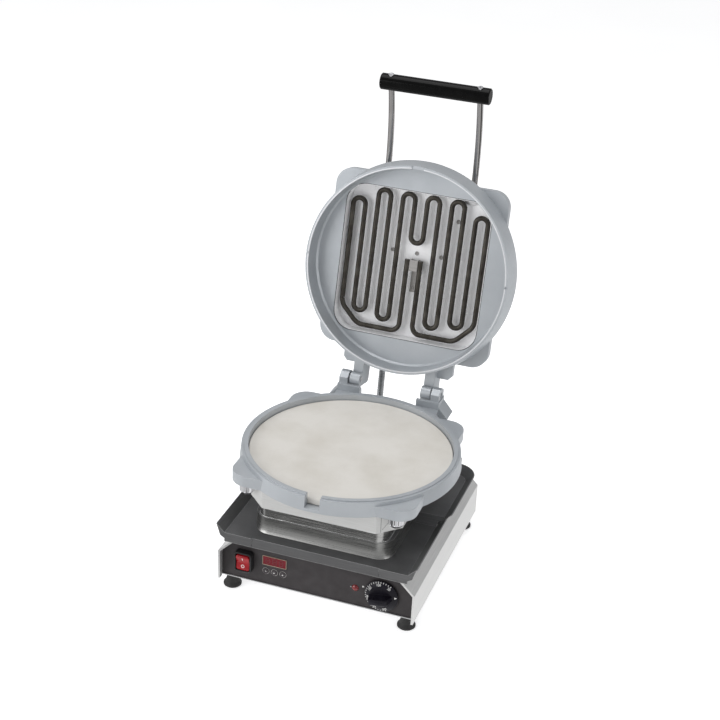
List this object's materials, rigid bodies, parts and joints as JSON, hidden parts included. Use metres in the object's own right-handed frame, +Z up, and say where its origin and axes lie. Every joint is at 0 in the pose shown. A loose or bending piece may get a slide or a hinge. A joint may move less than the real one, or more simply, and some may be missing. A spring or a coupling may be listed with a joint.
{
  "type": "electric pizza maker",
  "caption": "Countertop electric pizza maker with a stone in a heated lower casting, a heated hinged lid with a long handle, a drip tray and a base with timer, knob and switch.",
  "frame": {"origin": "middle of the whole object's outline at the surface under the feet, lid open", "axes": "+Z up, the front with the controls looks along -Y, +X to the right seen from the front"},
  "size_m": [0.3434, 0.5188, 0.6904],
  "materials": {
    "stainless_casing": "brushed",
    "stainless_sheet": "satin",
    "dark_panel": "satin",
    "tray_sheet": "satin",
    "zinc_steel": "satin",
    "chrome": "polished",
    "cast_aluminium": "satin",
    "bright_aluminium": "polished",
    "heater_steel": "satin",
    "white_stone": "matte",
    "mineral_wool": "matte",
    "black_rubber": "matte",
    "black_plastic": "matte",
    "knob_plastic": "satin",
    "grip_bakelite": "gloss",
    "red_plastic": "gloss",
    "display_red": "gloss",
    "lamp_red": "gloss",
    "key_plastic": "matte",
    "circuit_board": "satin",
    "relay_plastic": "matte",
    "cream_plastic": "matte",
    "copper_probe": "satin",
    "conduit_steel": "satin"
  },
  "bodies": {
    "base": {"casing": "stainless_casing", "bottom_plate": "zinc_steel", "rear_panel": "stainless_casing", "front_panel": "dark_panel", "panel_brackets": "zinc_steel", "drip_tray": "tray_sheet", "feet": "black_rubber", "foot_screws": "zinc_steel", "spacer_posts": "chrome", "post_bolts": "zinc_steel", "lower_cover": "stainless_sheet", "lower_insulation": "mineral_wool", "lower_reflector": "bright_aluminium", "lower_heater": "heater_steel", "lower_heater_supports": "zinc_steel", "lower_casting": "cast_aluminium", "lower_nuts": "chrome", "hinge_pins": "zinc_steel", "switch_collar": "black_plastic", "display_frame": "zinc_steel", "display_window": "display_red", "timer_board": "circuit_board", "indicator_lamp": "lamp_red", "thermostat": "zinc_steel", "temperature_probe": "copper_probe", "relay": "relay_plastic", "terminal_block": "cream_plastic", "mains_inlet": "black_plastic", "conduit_gland": "chrome", "power_conduit": "conduit_steel"},
    "stone": {"baking_stone": "white_stone"},
    "rocker": {"rocker": "red_plastic"},
    "timer_key": {"timer_key": "key_plastic"},
    "minus_key": {"minus_key": "key_plastic"},
    "plus_key": {"plus_key": "key_plastic"},
    "knob": {"thermostat_knob": "knob_plastic", "thermostat_shaft": "zinc_steel"},
    "lid": {"lid_casting": "cast_aluminium", "lid_cover": "stainless_sheet", "lid_insulation": "mineral_wool", "lid_reflector": "bright_aluminium", "lid_heater": "heater_steel", "heater_clips": "zinc_steel", "terminal_bracket": "zinc_steel", "reflector_screws": "zinc_steel", "lid_nuts": "chrome", "lid_gland": "chrome", "rod_clamps": "zinc_steel", "clamp_screws": "zinc_steel", "handle_rods": "chrome", "handle_grip": "grip_bakelite", "grip_screws": "chrome"}
  },
  "joints": [
    {"name": "lid_hinge", "type": "hinge", "parent": "base", "child": "lid", "pos_m": [0, 0.09874, 0.2215], "axis": [1, 0, 0], "range_deg": [0, 103.2]},
    {"name": "stone_lift", "type": "slide", "parent": "base", "child": "stone", "axis": [0, 0, 1], "range_m": [0, 0.03]},
    {"name": "rocker_tilt", "type": "hinge", "parent": "base", "child": "rocker", "pos_m": [-0.1166, -0.22765, 0.0554], "axis": [1, 0, 0], "range_deg": [-14, 0]},
    {"name": "timer_key_press", "type": "slide", "parent": "base", "child": "timer_key", "axis": [0, 1, 0], "range_m": [0, 0.0012], "stiffness_N_per_m": 150, "springref_m": -0.0004},
    {"name": "minus_key_press", "type": "slide", "parent": "base", "child": "minus_key", "axis": [0, 1, 0], "range_m": [0, 0.0012], "stiffness_N_per_m": 150, "springref_m": -0.0004},
    {"name": "plus_key_press", "type": "slide", "parent": "base", "child": "plus_key", "axis": [0, 1, 0], "range_m": [0, 0.0012], "stiffness_N_per_m": 150, "springref_m": -0.0004},
    {"name": "knob_turn", "type": "hinge", "parent": "base", "child": "knob", "pos_m": [0.102, -0.22165, 0.0503], "axis": [0, 1, 0], "range_deg": [-180, 100]}
  ]
}
